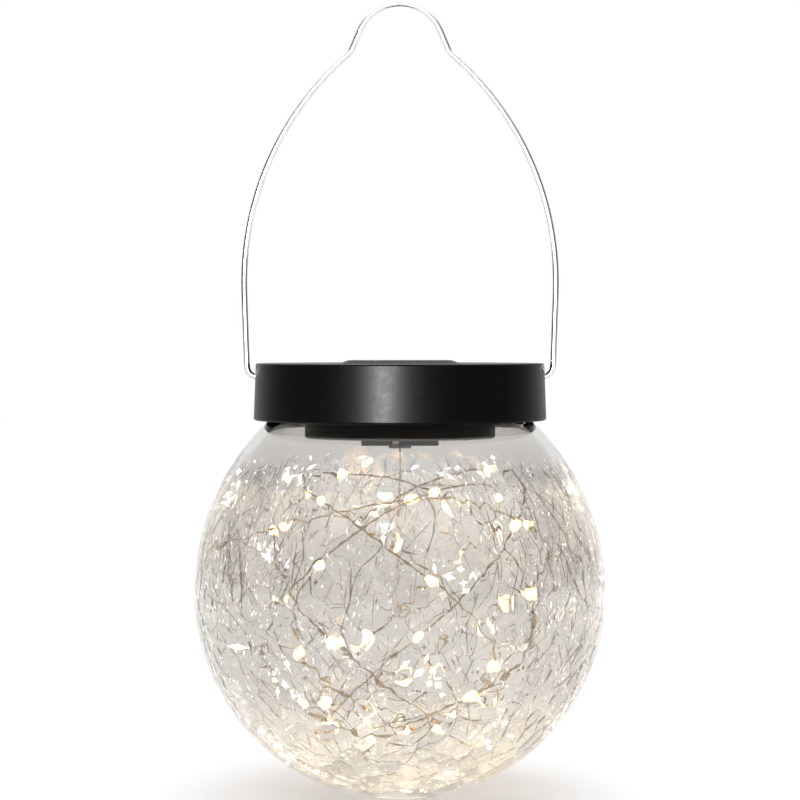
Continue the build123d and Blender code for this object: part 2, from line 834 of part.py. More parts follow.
# ---- bail ----------------------------------------------------------------------------------------
def bail_half():
    """Centreline of the +X half of the bail in the XZ plane, from its end in the lid to the top."""
    lean = radians(bail_lean)
    slope = radians(hump_slope)
    big_x = bail_half_width - bail_arc_radius
    big_z = pivot_z + bail_wide_rise
    corner_z = pivot_z + bail_corner_radius
    leg_offset = big_x * cos(lean) - big_z * sin(lean) + bail_arc_radius - bail_corner_radius
    corner_x = (leg_offset + corner_z * sin(lean)) / cos(lean)

    hump_z = pivot_z + bail_rise - hump_radius
    flank_offset = hump_z * cos(slope) + hump_radius + hump_corner_radius
    away_x = flank_offset * sin(slope) - big_x
    away_z = flank_offset * cos(slope) - big_z
    along = away_z * sin(slope) - away_x * cos(slope)
    reach = bail_arc_radius + hump_corner_radius
    travel = -along + sqrt(reach**2 - (away_x**2 + away_z**2 - along**2))
    bend_x = flank_offset * sin(slope) - travel * cos(slope)
    bend_z = flank_offset * cos(slope) + travel * sin(slope)
    bend_angle = degrees(atan2(bend_z - big_z, bend_x - big_x))

    end_x = ledge_outer_radius + pivot_boss_gap + 0.2
    corner = CenterArc((corner_x, corner_z), bail_corner_radius, -90, 90 - bail_lean)
    big = CenterArc((big_x, big_z), bail_arc_radius, -bail_lean, bail_lean + bend_angle)
    bend = CenterArc((bend_x, bend_z), hump_corner_radius, 180 + bend_angle, 90 - hump_slope - bend_angle)
    hump = CenterArc((0, hump_z), hump_radius, 90 - hump_slope, hump_slope)
    return [
        Line((end_x, pivot_z), corner @ 0),
        corner,
        Line(corner @ 1, big @ 0),
        big,
        bend,
        Line(bend @ 1, hump @ 0),
        hump,
    ]


def bail_wire():
    """Round wire along the whole bail."""
    half = [Plane.XZ * edge for edge in bail_half()]
    whole = half + [mirror(edge, Plane.YZ) for edge in reversed(half)]
    path = Wire([edge for curve in whole for edge in curve.edges()])
    section = Plane(path @ 0, z_dir=path % 0) * Circle(bail_wire_radius)
    return sweep(section, path=path)


NODES = [
    glass_jar,
    lid_cap,
    lid_seal,
    solar_backing,
    solar_cells,
    solar_fingers,
    solar_cover,
    battery_housing,
    battery_door,
    door_screw,
    housing_screws,
    battery_cell,
    battery_plate,
    battery_spring,
    circuit_board,
    board_screws,
    board_parts,
    board_choke,
    switch_body,
    switch_slider,
    string_gland,
    string_tail,
    red_leads,
    black_leads,
    string_wire,
    led_beads,
    led_chips,
    string_end,
    bail_wire,
]

os.makedirs("parts", exist_ok=True)
for make in NODES:
    export_step(make(), f"parts/{make.__name__}.step")
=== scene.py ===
import math

import bmesh
import bpy
import numpy as np
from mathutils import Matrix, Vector


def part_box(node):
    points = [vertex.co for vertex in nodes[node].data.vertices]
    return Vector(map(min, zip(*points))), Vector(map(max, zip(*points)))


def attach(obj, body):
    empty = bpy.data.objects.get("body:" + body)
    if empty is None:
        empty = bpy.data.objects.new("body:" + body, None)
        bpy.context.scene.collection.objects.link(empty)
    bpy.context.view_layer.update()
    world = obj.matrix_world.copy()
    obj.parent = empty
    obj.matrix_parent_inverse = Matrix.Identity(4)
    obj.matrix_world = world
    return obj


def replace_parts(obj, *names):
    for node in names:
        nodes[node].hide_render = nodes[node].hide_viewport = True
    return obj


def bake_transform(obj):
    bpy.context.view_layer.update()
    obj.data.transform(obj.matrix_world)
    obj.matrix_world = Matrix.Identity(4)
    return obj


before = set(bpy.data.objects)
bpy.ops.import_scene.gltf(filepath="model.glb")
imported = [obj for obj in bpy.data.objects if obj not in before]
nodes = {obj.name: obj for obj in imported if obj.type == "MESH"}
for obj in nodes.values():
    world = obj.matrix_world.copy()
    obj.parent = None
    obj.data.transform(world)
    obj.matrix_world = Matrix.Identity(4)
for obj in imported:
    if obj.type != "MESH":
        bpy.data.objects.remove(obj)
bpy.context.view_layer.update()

# ---- sizes of the jar, in metres ---------------------------------------------------------------
BALL_R = 0.060
FOOT_R = 0.016
PUNT_R = 0.011
PUNT_DEPTH = 0.0015
BASE = 0.004
WALL = 0.0026
SHOULDER_R = 0.068
SHOULDER_SHIFT = SHOULDER_R - BALL_R
NECK_IN = 0.0345
NECK_R = 0.0375
NECK_CORNER = 0.0025
NECK_HEIGHT = 0.0093
RIM_ROUND = 0.0012
BALL_Z = math.sqrt(BALL_R**2 - FOOT_R**2)
SHOULDER_TOP = BALL_Z + math.sqrt(SHOULDER_R**2 - (NECK_R + SHOULDER_SHIFT) ** 2)
RIM_Z = SHOULDER_TOP + NECK_HEIGHT
INNER_BALL = BALL_R - WALL
INNER_SHOULDER = SHOULDER_R - WALL
CENTRE = np.array([0.0, 0.0, BALL_Z])
RELIEF_TOP = 0.0985
CRACK_TOP = 0.0975
LUG_DEPTH = 0.0022
LUG_HEIGHT = 0.0025
LUG_TOP = RIM_Z - 0.0043
LUG_ANGLE = 30.0
STOP_ANGLE = 4.0
STOP_HEIGHT = 0.002
RELIEF_HEIGHT = 0.00022  # of the largest cells on the inside of the glass

# ---- glow painted round the small lights: its reach, close by and further off, and its colours ---
CRACK_PAINTED_GLOW = (0.0075, 0.022)
GLASS_PAINTED_GLOW = (0.0070, 0.018)
WHITE_GLINT = np.array([1.0, 0.99, 0.97])
AMBER_GLINT = np.array([1.0, 0.80, 0.52])
GLASS_PAINTED_GLOW_COLOUR = np.array([1.0, 0.84, 0.62])
GLASS_PAINTED_GLOW_STRENGTH = 2.0
GLINT_STRENGTH = 2.0

# ---- steps along the cracks ----------------------------------------------------------------------
BORDERS_LEFT_OUT = 0.42
BORDER_STEP = 0.0009
WALK_STEP = 0.0011
SHARD_SPREAD = 0.062  # radians round each light

rng = np.random.default_rng(11)


# ---- meshes ------------------------------------------------------------------------------------
def mesh_object(name, verts, faces, smooth=True):
    """A mesh object from plain lists."""
    mesh = bpy.data.meshes.new(name)
    mesh.from_pydata([tuple(v) for v in verts], [], [tuple(f) for f in faces])
    mesh.validate()
    mesh.update()
    if smooth:
        mesh.shade_smooth()
    obj = bpy.data.objects.new(name, mesh)
    bpy.context.scene.collection.objects.link(obj)
    return obj


def float_attribute(obj, name, values):
    """A number for each vertex, for a material to read."""
    attribute = obj.data.attributes.new(name, "FLOAT", "POINT")
    attribute.data.foreach_set("value", np.asarray(values, np.float32))


def colour_attribute(obj, name, values):
    """A colour for each vertex, for a material to read."""
    attribute = obj.data.attributes.new(name, "FLOAT_COLOR", "POINT")
    full = np.c_[np.asarray(values), np.ones(len(values))]
    attribute.data.foreach_set("color", full.astype(np.float32).ravel())


def unit(vectors):
    return vectors / np.linalg.norm(vectors, axis=-1, keepdims=True)


# ---- materials ---------------------------------------------------------------------------------
def material(name):
    """A new material: its node tree and its Principled shader."""
    made = bpy.data.materials.new(name)
    made.use_nodes = True
    tree = made.node_tree
    return made, tree, tree.nodes["Principled BSDF"]


def noise(tree, scale, stretch=None):
    """Noise in object space, in features per metre."""
    place = tree.nodes.new("ShaderNodeTexCoord")
    texture = tree.nodes.new("ShaderNodeTexNoise")
    texture.inputs["Scale"].default_value = scale
    texture.inputs["Detail"].default_value = 4.0
    texture.inputs["Roughness"].default_value = 0.55
    out = place.outputs["Object"]
    if stretch:
        mapping = tree.nodes.new("ShaderNodeMapping")
        mapping.inputs["Scale"].default_value = stretch
        tree.links.new(out, mapping.inputs["Vector"])
        out = mapping.outputs["Vector"]
    tree.links.new(out, texture.inputs["Vector"])
    return texture.outputs["Fac"]


def ramp(tree, value, stops):
    """Colours along a value, as (position, colour) pairs."""
    node = tree.nodes.new("ShaderNodeValToRGB")
    elements = node.color_ramp.elements
    while len(elements) < len(stops):
        elements.new(0.5)
    for element, (position, colour) in zip(elements, stops):
        element.position = position
        element.color = (*colour, 1.0)
    tree.links.new(value, node.inputs["Fac"])
    return node.outputs["Color"]


def spread(tree, value, low, high, from_low=0.3, from_high=0.7):
    """A value mapped to a range."""
    node = tree.nodes.new("ShaderNodeMapRange")
    node.inputs["From Min"].default_value = from_low
    node.inputs["From Max"].default_value = from_high
    node.inputs["To Min"].default_value = low
    node.inputs["To Max"].default_value = high
    tree.links.new(value, node.inputs["Value"])
    return node.outputs["Result"]


def bump(tree, shader, value, height):
    """Small surface relief of that height in metres."""
    node = tree.nodes.new("ShaderNodeBump")
    node.inputs["Strength"].default_value = 1.0
    node.inputs["Distance"].default_value = height
    tree.links.new(value, node.inputs["Height"])
    tree.links.new(node.outputs["Normal"], shader.inputs["Normal"])


def finish_material(
    name, dark, light, scale, rough, metallic=0.0, grain=0.0, grain_scale=1.0, specular=None, stretch=None
):
    """An opaque finish: two close colours in soft patches, uneven gloss and a fine grain."""
    made, tree, shader = material(name)
    patches = noise(tree, scale, stretch=stretch)
    tree.links.new(ramp(tree, patches, [(0.3, dark), (0.7, light)]), shader.inputs["Base Color"])
    gloss = noise(tree, scale * 2.3, stretch=stretch)
    tree.links.new(spread(tree, gloss, *rough), shader.inputs["Roughness"])
    shader.inputs["Metallic"].default_value = metallic
    if specular is not None:
        shader.inputs["Specular IOR Level"].default_value = specular
    if grain:
        bump(tree, shader, noise(tree, grain_scale, stretch=stretch), grain)
    return made


def glass_material(name, dark, light, ior, rough=0.0, scale=60.0):
    """Clear glass or resin with a faint uneven tint."""
    made, tree, shader = material(name)
    tree.links.new(ramp(tree, noise(tree, scale), [(0.3, dark), (0.7, light)]), shader.inputs["Base Color"])
    shader.inputs["Roughness"].default_value = rough
    shader.inputs["Transmission Weight"].default_value = 1.0
    shader.inputs["IOR"].default_value = ior
    return made


def paint(obj, made):
    """Puts one material on every slot of a piece."""
    if not obj.data.materials:
        obj.data.materials.append(made)
    for slot in obj.material_slots:
        slot.material = made


# ---- crack network -----------------------------------------------------------------------------
STRETCH_FROM = np.radians([-90.0, -20.0, 4.0, 14.0, 26.0, 90.0])
STRETCH_TO = np.radians([-90.0, -20.0, 5.0, 20.0, 42.0, 90.0])


def ripple(d):
    """How far a direction is pushed sideways, so that the cracks curve."""
    return (
        0.035 * np.sin(7.0 * d[:, [1, 2, 0]] + 1.3)
        + 0.016 * np.sin(17.0 * d[:, [2, 0, 1]] + 4.1)
        + 0.006 * np.sin(38.0 * d[:, [1, 2, 0]] + 0.6)
    )


def with_latitude(d, source, target):
    """Directions with their latitude carried from one scale to the other."""
    latitude = np.interp(np.arcsin(np.clip(d[:, 2], -1, 1)), source, target)
    flat = unit(d[:, :2] + 1e-12)
    return np.c_[flat * np.cos(latitude)[:, None], np.sin(latitude)]


def bent(d):
    """From the even pattern to the glass."""
    return with_latitude(unit(d + ripple(d)), STRETCH_FROM, STRETCH_TO)


def unbent(d):
    """From the glass back to the even pattern."""
    target = with_latitude(d, STRETCH_TO, STRETCH_FROM)
    found = target.copy()
    for _ in range(12):
        push = ripple(found)
        length = np.linalg.norm(found + push, axis=1, keepdims=True)
        found = unit(target * length - push)
    return found


def scattered(count, jitter, kept):
    """Directions spread over a sphere, each moved a little, with some left out."""
    i = np.arange(count) + 0.5
    height = 1 - 2 * i / count
    turn = i * math.pi * (3 - math.sqrt(5))
    flat = np.sqrt(1 - height**2)
    spots = np.c_[flat * np.cos(turn), flat * np.sin(turn), height]
    spots = unit(spots + rng.normal(size=spots.shape) * jitter / math.sqrt(count))
    return spots[rng.random(count) < kept]


def cell_borders(seeds):
    """Pairs of directions: the ends of each border between two cells of a pattern on a sphere."""
    bm = bmesh.new()
    for seed in seeds:
        bm.verts.new(seed)
    bmesh.ops.convex_hull(bm, input=bm.verts)
    bm.normal_update()
    bm.faces.index_update()
    middles = [(f.normal if f.normal.dot(f.verts[0].co) > 0 else -f.normal).copy() for f in bm.faces]
    borders = [
        (middles[e.link_faces[0].index], middles[e.link_faces[1].index])
        for e in bm.edges
        if len(e.link_faces) == 2
    ]
    bm.free()
    return np.array([(tuple(a), tuple(b)) for a, b in borders])


def wall_radii(d):
    """Distance from the ball's centre to the inner and outer surface of the glass."""
    up = np.clip(d[:, 2], 0, None)
    level = np.sqrt(1 - np.clip(d[:, 2], -1, 1) ** 2)
    radii = []
    for ball, shoulder in ((INNER_BALL, INNER_SHOULDER), (BALL_R, SHOULDER_R)):
        shift = SHOULDER_SHIFT * level
        above = np.sqrt(shift**2 + shoulder**2 - SHOULDER_SHIFT**2) - shift
        radii.append(np.where(up > 0, above, ball))
    floor = (BALL_Z - BASE) / np.clip(-d[:, 2], 1e-6, None)
    radii[0] = np.where(d[:, 2] < 0, np.minimum(radii[0], floor), radii[0])
    return radii


def cell_of(d, seeds):
    """The cell each direction is in, and how far inside it: 0 on a crack, 1 in the middle."""
    pattern = unbent(d)
    cell = np.zeros(len(d), int)
    inset = np.zeros(len(d))
    for start in range(0, len(d), 8000):
        part = slice(start, start + 8000)
        near = pattern[part] @ seeds.T
        best = np.argmax(near, axis=1)
        rows = np.arange(len(best))
        first = np.arccos(np.clip(near[rows, best], -1, 1))
        near[rows, best] = -2
        second = np.arccos(np.clip(near.max(axis=1), -1, 1))
        cell[part] = best
        inset[part] = 1 - (first / second) ** 2
    return cell, inset


def cell_relief(d, seeds):
    """Height of the lens-shaped cells at each direction, from 0 along the cracks."""
    big = rng.random(len(seeds)) < 0.4
    swell = np.where(big, rng.uniform(0.7, 1.0, len(seeds)), rng.uniform(0.15, 0.5, len(seeds)))
    cell, inset = cell_of(d, seeds)
    return swell[cell] * inset


# ---- jar ---------------------------------------------------------------------------------------
def arc(centre_r, centre_z, radius, start, end, count):
    """Points (radius, height) along an arc, angles in radians."""
    turn = np.linspace(start, end, count)
    return np.c_[centre_r + radius * np.cos(turn), centre_z + radius * np.sin(turn)]


def outer_profile():
    """From the middle of the foot up to the top of the rim."""
    punt_r = np.linspace(0.0, PUNT_R, 7)[1:]
    punt = np.c_[punt_r, PUNT_DEPTH * (1 - (punt_r / PUNT_R) ** 2)]
    ball = arc(0, BALL_Z, BALL_R, -math.acos(FOOT_R / BALL_R), 0, 42)
    corner_r = NECK_R + NECK_CORNER
    corner_z = BALL_Z + math.sqrt((SHOULDER_R + NECK_CORNER) ** 2 - (corner_r + SHOULDER_SHIFT) ** 2)
    meet = math.atan2(corner_z - BALL_Z, corner_r + SHOULDER_SHIFT)
    shoulder = arc(-SHOULDER_SHIFT, BALL_Z, SHOULDER_R, 0, meet, 26)[1:]
    corner = arc(corner_r, corner_z, NECK_CORNER, meet - math.pi, -math.pi, 6)[1:]
    rim = arc(NECK_R - RIM_ROUND, RIM_Z - RIM_ROUND, RIM_ROUND, 0, math.pi / 2, 5)
    return np.vstack([punt, ball, shoulder, corner, rim])


def inner_profile(rows):
    """From the rim's inner edge down to the middle of the floor."""
    rim = arc(NECK_IN + RIM_ROUND, RIM_Z - RIM_ROUND, RIM_ROUND, math.pi / 2, math.pi, 5)
    top = math.acos((NECK_IN + SHOULDER_SHIFT) / INNER_SHOULDER)
    shoulder_rows = int(rows * 0.36)
    shoulder = arc(-SHOULDER_SHIFT, BALL_Z, INNER_SHOULDER, top, 0, shoulder_rows)
    low = -math.asin((BALL_Z - BASE) / INNER_BALL)
    ball = arc(0, BALL_Z, INNER_BALL, 0, low, rows - shoulder_rows)[1:]
    floor_r = np.linspace(ball[-1, 0], 0, 9)[1:-1]
    floor = np.c_[floor_r, np.full(len(floor_r), BASE)]
    return np.vstack([rim, shoulder, ball, floor])


def lathe(profile, segments):
    """Points of a turned surface, one ring for each profile point."""
    turn = np.linspace(0, 2 * math.pi, segments, endpoint=False)
    rings = [np.c_[r * np.cos(turn), r * np.sin(turn), np.full(segments, z)] for r, z in profile]
    return np.vstack(rings)


def ring_faces(first, second, count, other):
    """Faces between two rings of the same count, or from a ring to one with twice as many points."""
    faces = []
    for i in range(count):
        after = (i + 1) % count
        if other == count:
            faces.append((first + i, first + after, second + after, second + i))
        else:
            a, b, c = second + 2 * i, second + 2 * i + 1, second + (2 * i + 2) % other
            faces.append((first + i, first + after, b))
            faces.append((first + i, b, a))
            faces.append((first + after, c, b))
    return faces


def glass_body(seeds):
    """The jar as one closed shell: smooth outside, cell relief inside."""
    outer_count, inner_count, inner_rows = 240, 480, 150
    outside = outer_profile()
    inside = inner_profile(inner_rows)
    outer = lathe(outside, outer_count)
    inner = lathe(inside, inner_count)
    d = unit(inner - CENTRE)
    zone = np.clip((RELIEF_TOP - inner[:, 2]) / 0.012, 0, 1) * np.clip((inner[:, 2] - 0.006) / 0.006, 0, 1)
    worked = zone > 0
    lift = np.zeros(len(inner))
    lift[worked] = RELIEF_HEIGHT * zone[worked] * cell_relief(d[worked], seeds)
    inner = inner - d * lift[:, None]
    verts = [(0, 0, PUNT_DEPTH)] + outer.tolist() + inner.tolist() + [(0, 0, BASE)]
    faces = [(0, 1 + (i + 1) % outer_count, 1 + i) for i in range(outer_count)]
    for k in range(len(outside) - 1):
        faces += ring_faces(1 + k * outer_count, 1 + (k + 1) * outer_count, outer_count, outer_count)
    base = 1 + len(outer)
    faces += ring_faces(base - outer_count, base, outer_count, inner_count)
    for k in range(len(inside) - 1):
        faces += ring_faces(base + k * inner_count, base + (k + 1) * inner_count, inner_count, inner_count)
    last = len(verts) - 1
    start = base + (len(inside) - 1) * inner_count
    faces += [(start + i, start + (i + 1) % inner_count, last) for i in range(inner_count)]
    return mesh_object("jar_glass", verts, faces)


def lug(middle, angle, low, high):
    """A rounded lug on the neck, as a closed block that starts just inside the glass."""
    turns = np.radians(np.linspace(middle - angle / 2, middle + angle / 2, max(3, int(angle / 2))))
    edge = 0.0004
    section = [
        (NECK_R - 0.0004, low), (NECK_R + LUG_DEPTH - edge, low), (NECK_R + LUG_DEPTH, low + edge),
        (NECK_R + LUG_DEPTH, high - edge), (NECK_R + LUG_DEPTH - edge, high), (NECK_R - 0.0004, high),
    ]
    verts = [(r * math.cos(t), r * math.sin(t), z) for t in turns for r, z in section]
    count = len(section)
    faces = [tuple(range(count))[::-1]]
    for k in range(len(turns) - 1):
        for i in range(count):
            j = (i + 1) % count
            faces.append((k * count + i, k * count + j, (k + 1) * count + j, (k + 1) * count + i))
    faces.append(tuple(range((len(turns) - 1) * count, len(turns) * count)))
    return verts, faces


def neck_lugs():
    """Three lugs of the twist lock, each with its stop."""
    verts, faces = [], []
    for i in range(3):
        middle = 120.0 * i
        stop = middle - (LUG_ANGLE + STOP_ANGLE) / 2
        for part in (
            lug(middle, LUG_ANGLE, LUG_TOP - LUG_HEIGHT, LUG_TOP),
            lug(stop, STOP_ANGLE, LUG_TOP - LUG_HEIGHT - STOP_HEIGHT, LUG_TOP),
        ):
            first = len(verts)
            verts += part[0]
            faces += [tuple(first + i for i in face) for face in part[1]]
    return mesh_object("jar_lugs", verts, faces, smooth=False)


# ---- cracks inside the glass -------------------------------------------------------------------
class Flakes:
    """Gathers thin crack faces into one mesh, each with a tone and a share of painted glints, glowing as
    emission.
    """

    def __init__(self):
        self.verts, self.faces, self.tones, self.glints = [], [], [], []

    def ribbon(self, d, tilt, shallow, deep, tone, glint=0.0):
        """A crack along directions d, between two depths as fractions of the wall from its inner side."""
        inside, outside = wall_radii(d)
        along = unit(np.gradient(d, axis=0) + 1e-12)
        side = np.cross(d, along)
        first = len(self.verts)
        for depth in (shallow, deep):
            radius = inside + (outside - inside) * depth
            lean = (depth - (shallow + deep) / 2) * (outside - inside) * np.tan(tilt)
            points = CENTRE + d * radius[:, None] + side * lean[:, None]
            self.verts += points.tolist()
        count = len(d)
        self.tones += [tone] * (2 * count)
        self.glints += [glint] * (2 * count)
        for i in range(count - 1):
            self.faces.append((first + i, first + i + 1, first + count + i + 1, first + count + i))

    def flake(self, d, along, length, tilt, shallow, deep, tone, glint):
        """One small pointed crack."""
        side = np.cross(d, along)
        d = np.array([unit(d - along * length / 2), d, unit(d + along * length / 2)])
        inside, outside = wall_radii(d)
        wall = outside - inside
        middle = (shallow + deep) / 2
        ends = [CENTRE + d[i] * (inside[i] + wall[i] * middle) for i in (0, 2)]
        lean = side * math.tan(tilt) * wall[1] * (deep - middle)
        high = CENTRE + d[1] * (inside[1] + wall[1] * deep) + lean
        low = CENTRE + d[1] * (inside[1] + wall[1] * shallow) - lean
        first = len(self.verts)
        self.verts += [p.tolist() for p in (ends[0], low, ends[1], high)]
        self.tones += [tone] * 4
        self.glints += [glint] * 4
        self.faces.append((first, first + 1, first + 2, first + 3))

    def build(self, name, lights):
        obj = mesh_object(name, self.verts, self.faces, smooth=False)
        float_attribute(obj, "tone", self.tones)
        # Painted light: the emission colour holds painted glints and a painted glow of the small lights,
        # warmer near them and on the lower +x side.
        lit = lit_by(np.array(self.verts), lights, *CRACK_PAINTED_GLOW)
        d = unit(np.array(self.verts) - CENTRE)
        low_side = np.clip(0.7 * d[:, 0] - 0.6 * d[:, 2], 0, 1)
        warmth = np.clip(lit * 1.6 + 0.6 * low_side, 0.12, 1)[:, None]
        glint = np.array(self.glints)[:, None]
        colour = (1 - warmth) * WHITE_GLINT + warmth * AMBER_GLINT
        colour_attribute(obj, "painted_light", colour * (glint + 0.5 * lit[:, None] * (1 - glint)))
        return obj


def lit_by(points, lights, near, far):
    """How strongly the glow painted round the small lights reaches each point, from 0 to about 1."""
    total = np.zeros(len(points))
    for light in lights:
        distance = np.linalg.norm(points - light, axis=1)
        total += 0.75 * np.exp(-((distance / near) ** 2)) + 0.10 * np.exp(-((distance / far) ** 2))
    return np.clip(total, 0, 1)


def allowed(d):
    """Whether a direction is in the part of the ball that is cracked."""
    outside = wall_radii(d)[1]
    height = BALL_Z + outside * d[:, 2]
    return (height < CRACK_TOP) & (height > 0.0032)


def slerp(a, b, count):
    """Directions from a to b."""
    angle = math.acos(max(-1.0, min(1.0, float(a @ b))))
    t = np.linspace(0, 1, count)[:, None]
    if angle < 1e-6:
        return np.repeat(a[None], count, axis=0)
    return (np.sin((1 - t) * angle) * a + np.sin(t * angle) * b) / math.sin(angle)


def wavy(count, amount):
    """A smooth random change along a crack."""
    phase, rate = rng.uniform(0, 6.28), rng.uniform(0.5, 1.6)
    return amount * np.sin(phase + rate * np.arange(count))


def cell_cracks(flakes, borders):
    """Cracks along the borders of the cells."""
    for a, b in borders:
        if rng.random() < BORDERS_LEFT_OUT:
            continue
        angle = math.acos(max(-1.0, min(1.0, float(a @ b))))
        count = max(3, int(angle * BALL_R / BORDER_STEP) + 1)
        d = bent(slerp(a, b, count))
        if not allowed(d).all():
            continue
        tilt = rng.normal(0, 0.17) + wavy(count, 0.08)
        shallow = 0.14 + np.abs(wavy(count, 0.05))
        deep = np.clip(rng.uniform(0.3, 0.55) + wavy(count, 0.08), 0.24, 0.7)
        flakes.ribbon(d, tilt, shallow, deep, rng.random())


def compass(d):
    """Unit vectors up and sideways over the sphere at a direction."""
    up = unit(np.array([0, 0, 1.0]) - d * d[2])
    return up, np.cross(up, d)


def walk(start, heading, length, bend):
    """A wandering path over the sphere from a direction, heading in radians from straight up."""
    d = start.copy()
    points = [d]
    for _ in range(max(2, int(length / WALK_STEP))):
        up, east = compass(d)
        along = up * math.cos(heading) - east * math.sin(heading)
        d = unit(d + along * WALK_STEP / BALL_R)
        points.append(d)
        heading += rng.normal(bend, 0.09)
    return np.array(points)


def long_cracks(flakes, count, low, high, slant, reach):
    """Long wandering cracks between two latitudes in degrees, more upright where slant is small."""
    for _ in range(count):
        turn = rng.uniform(0, 2 * math.pi)
        latitude = math.asin(rng.uniform(math.sin(math.radians(low)), math.sin(math.radians(high))))
        level = math.cos(latitude)
        start = np.array([level * math.cos(turn), level * math.sin(turn), math.sin(latitude)])
        d = walk(start, rng.normal(0, slant), rng.uniform(*reach), rng.normal(0, 0.03))
        d = d[allowed(d)]
        if len(d) < 4:
            continue
        n = len(d)
        fade = np.clip(np.minimum(np.arange(n), np.arange(n)[::-1]) / 3.0, 0.15, 1)
        middle = rng.uniform(0.28, 0.45)
        half = rng.uniform(0.07, 0.17) * fade
        tilt = rng.normal(0, 0.25) + wavy(n, 0.12)
        flakes.ribbon(d, tilt, middle - half, middle + half, rng.random() * 0.7)


def branch_cracks(flakes, count):
    """Short cracks that start anywhere and die out inside a cell."""
    spots = bent(unit(rng.normal(size=(count, 3))))
    for start in spots[allowed(spots)]:
        d = walk(start, rng.uniform(0, 2 * math.pi), rng.uniform(0.0015, 0.006), rng.normal(0, 0.08))
        d = d[allowed(d)]
        if len(d) < 3:
            continue
        n = len(d)
        half = 0.16 * np.linspace(1, 0.2, n)
        tilt = rng.normal(0, 0.3) + wavy(n, 0.1)
        flakes.ribbon(d, tilt, 0.34 - half, 0.34 + half, rng.random())


def small_flakes(flakes, count):
    """Tiny flakes, mostly upright, lying flat towards the foot; half carry a painted glint as emission."""
    spots = unit(rng.normal(size=(count, 3)))
    for d in spots[allowed(spots)]:
        up, east = compass(d)
        heading = rng.normal(0, 0.5)
        if rng.random() < np.clip(-d[2] * 1.6 - 0.4, 0, 0.8):
            heading += math.pi / 2
        along = up * math.cos(heading) + east * math.sin(heading)
        middle = rng.uniform(0.25, 0.5)
        half = rng.uniform(0.06, 0.16)
        length = rng.uniform(0.0006, 0.0020) / BALL_R
        glint = rng.uniform(0.7, 1.0) if rng.random() < 0.5 else 0.0
        tilt = rng.normal(0, 0.35)
        flakes.flake(d, along, length, tilt, middle - half, middle + half, rng.uniform(0.3, 1.0), glint)


def light_shards(flakes, lights, count):
    """Slanted crack faces round each small light, with its glow painted on them as emission."""
    for light in lights:
        towards = unit(light - CENTRE)
        spots = unit(towards + rng.normal(size=(count, 3)) * SHARD_SPREAD)
        for d in spots[allowed(spots)]:
            up, east = compass(d)
            heading = rng.uniform(0, math.pi)
            along = up * math.cos(heading) + east * math.sin(heading)
            half = rng.uniform(0.06, 0.15)
            tilt = rng.choice((-1, 1)) * rng.uniform(0.9, 1.3)
            length = rng.uniform(0.0010, 0.0042) / BALL_R
            glint = rng.uniform(0.30, 0.55) if rng.random() < 0.5 else rng.uniform(0.9, 1.8)
            flakes.flake(d, along, length, tilt, 0.3 - half, 0.3 + half, rng.uniform(0.5, 1.0), glint)


def crack_material():
    """Half-silvered crack faces: grey-brown to bright, patchy, with painted glints and the small lights'
    glow painted on as emission.
    """
    made, tree, shader = material("crack_faces")
    tone = tree.nodes.new("ShaderNodeAttribute")
    tone.attribute_name = "tone"
    colour = ramp(
        tree, tone.outputs["Fac"],
        [
            (0.0, (0.26, 0.21, 0.16)),
            (0.4, (0.46, 0.40, 0.33)),
            (0.7, (0.68, 0.64, 0.59)),
            (1.0, (0.95, 0.94, 0.92)),
        ],
    )
    tree.links.new(colour, shader.inputs["Base Color"])
    shader.inputs["Metallic"].default_value = 1.0
    tree.links.new(spread(tree, noise(tree, 900.0), 0.12, 0.35), shader.inputs["Roughness"])
    tree.links.new(spread(tree, noise(tree, 500.0), 0.3, 0.95), shader.inputs["Alpha"])
    # Painted glints and painted glow of the small lights, as emission.
    painted_light = tree.nodes.new("ShaderNodeAttribute")
    painted_light.attribute_name = "painted_light"
    tree.links.new(painted_light.outputs["Color"], shader.inputs["Emission Color"])
    shader.inputs["Emission Strength"].default_value = GLINT_STRENGTH
    return made


# ---- light string ------------------------------------------------------------------------------
GLAND_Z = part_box("string_gland")[0].z
STRING_DROP = 0.014
STRING_CORNERS = 41
STRING_Z = 0.057
STRING_STEP = -60.71
STRING_LOW, STRING_HIGH = -62.7, 46.2
STRING_SWAY_RATE, STRING_SWAY_START = 0.7664, 3.434
STRING_DEPTH, STRING_DEPTH_RATE, STRING_DEPTH_START = 0.312, 1.961, 1.0
STRING_START = 91.0
STRING_INSET = 0.0032
BEAD_R = 0.00145
BEAD_LENGTH = 0.0044
CHIP_R = 0.0005
CHIP_LENGTH = 0.0018
LINE_STEP = 0.0014
STRAND_R = 0.00017
STRAND_OFFSET = 0.00017
TWIST_PITCH = 0.0085


def string_reach(elevation):
    """Distance from the middle of the nest to the inner glass surface, at an angle above the level."""
    rise = STRING_Z - BALL_Z
    to_ball = math.sqrt(INNER_BALL**2 - (rise * math.cos(elevation)) ** 2) - rise * math.sin(elevation)
    if rise + to_ball * math.sin(elevation) > 0:
        shift = SHOULDER_SHIFT * math.cos(elevation) + rise * math.sin(elevation)
        return math.sqrt(shift**2 + INNER_SHOULDER**2 - SHOULDER_SHIFT**2 - rise**2) - shift
    if elevation < 0:
        return min(to_ball, (STRING_Z - BASE) / math.sin(-elevation))
    return to_ball


